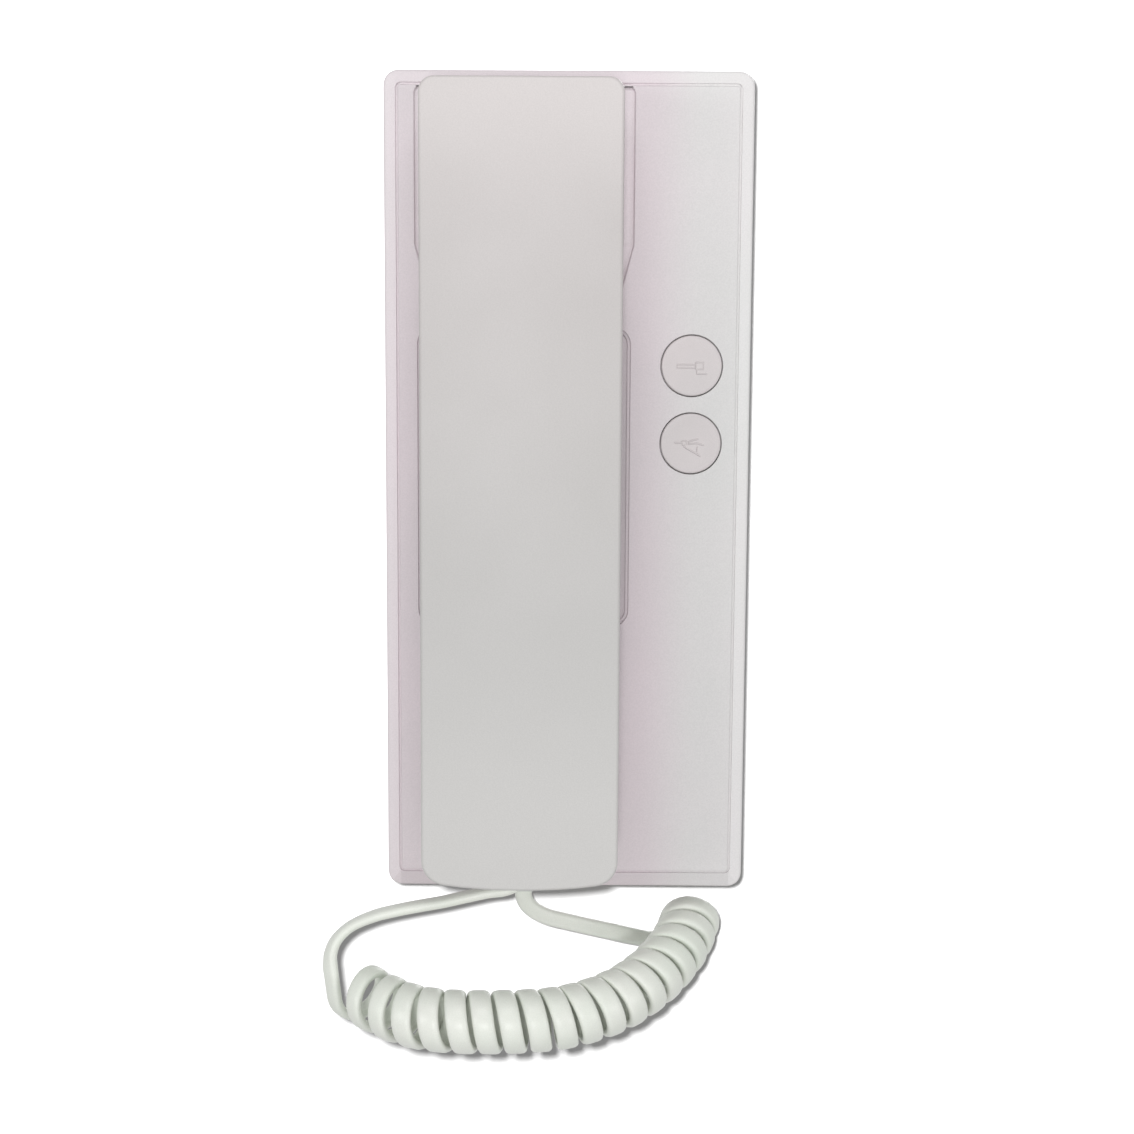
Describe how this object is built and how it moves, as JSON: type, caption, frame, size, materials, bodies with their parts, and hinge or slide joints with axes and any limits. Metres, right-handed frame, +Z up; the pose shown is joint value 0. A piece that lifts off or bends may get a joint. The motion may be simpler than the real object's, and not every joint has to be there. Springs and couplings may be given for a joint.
{
  "type": "slimline wall phone",
  "caption": "Slim wall phone with a bevelled base and round push buttons, a slab handset hanging in a cradle, and a flat curly cord below.",
  "frame": {"origin": "centre of the four wall screw holes on the rear face, in the wall plane", "axes": "+Z up the wall, +Y into the wall, so the front faces -Y, and +X to the viewer's right"},
  "size_m": [0.111, 0.0605, 0.2508],
  "materials": {
    "white_plastic": "fine moulded texture",
    "button_plastic": "fine moulded texture",
    "plate_plastic": "moulded",
    "cord_plastic": "smooth satin",
    "plug_plastic": "clear gloss",
    "board_laminate": "solder mask",
    "dark_plastic": "moulded",
    "terminal_plastic": "moulded",
    "capacitor_sleeve": "shrink sleeve",
    "trimmer_plastic": "moulded",
    "zinc_steel": "zinc plated",
    "capsule_metal": "plain",
    "speaker_black": "moulded frame and paper cone",
    "silicone": "moulded",
    "soft_rubber": "moulded",
    "spring_bronze": "bent strip",
    "wire_insulation": "insulated wire"
  },
  "bodies": {
    "base": {"wall_plate": "plate_plastic", "front_cover": "white_plastic", "circuit_board": "board_laminate", "board_screws": "zinc_steel", "terminal_block": "terminal_plastic", "terminal_screws": "zinc_steel", "call_speaker": "speaker_black", "speaker_ring": "plate_plastic", "key_mat": "silicone", "capacitors": "capacitor_sleeve", "chips": "dark_plastic", "volume_trimmer": "trimmer_plastic", "hook_switch": "dark_plastic", "hook_pin": "zinc_steel", "hook_spring": "spring_bronze", "base_socket": "dark_plastic", "cover_screw": "zinc_steel", "cord_coil": "cord_plastic", "base_lead": "cord_plastic", "base_plug": "plug_plastic"},
    "handset": {"handset_front_shell": "white_plastic", "handset_back_shell": "white_plastic", "receiver": "speaker_black", "receiver_gasket": "soft_rubber", "microphone": "capsule_metal", "microphone_boot": "soft_rubber", "balance_weight": "zinc_steel", "handset_socket": "dark_plastic", "handset_screws": "zinc_steel", "handset_wires": "wire_insulation", "handset_plug": "plug_plastic", "handset_lead": "cord_plastic"},
    "hook_lever": {"hook_lever": "white_plastic"},
    "door_button": {"door_button": "button_plastic"},
    "light_button": {"light_button": "button_plastic"}
  },
  "joints": [
    {"name": "handset_lift", "type": "slide", "parent": "base", "child": "handset", "axis": [0, -0.9063, 0.4226], "range_m": [0, 0.06]},
    {"name": "hook_turn", "type": "hinge", "parent": "base", "child": "hook_lever", "pos_m": [-0.002, -0.0112, 0.058], "axis": [1, 0, 0], "range_deg": [0, 12]},
    {"name": "door_press", "type": "slide", "parent": "base", "child": "door_button", "axis": [0, 1, 0], "range_m": [0, 0.0012], "stiffness_N_per_m": 400},
    {"name": "light_press", "type": "slide", "parent": "base", "child": "light_button", "axis": [0, 1, 0], "range_m": [0, 0.0012], "stiffness_N_per_m": 400}
  ],
  "couplings": [
    {"joint": "hook_turn", "follows": "handset_lift", "rad_per_m": 3.49}
  ]
}
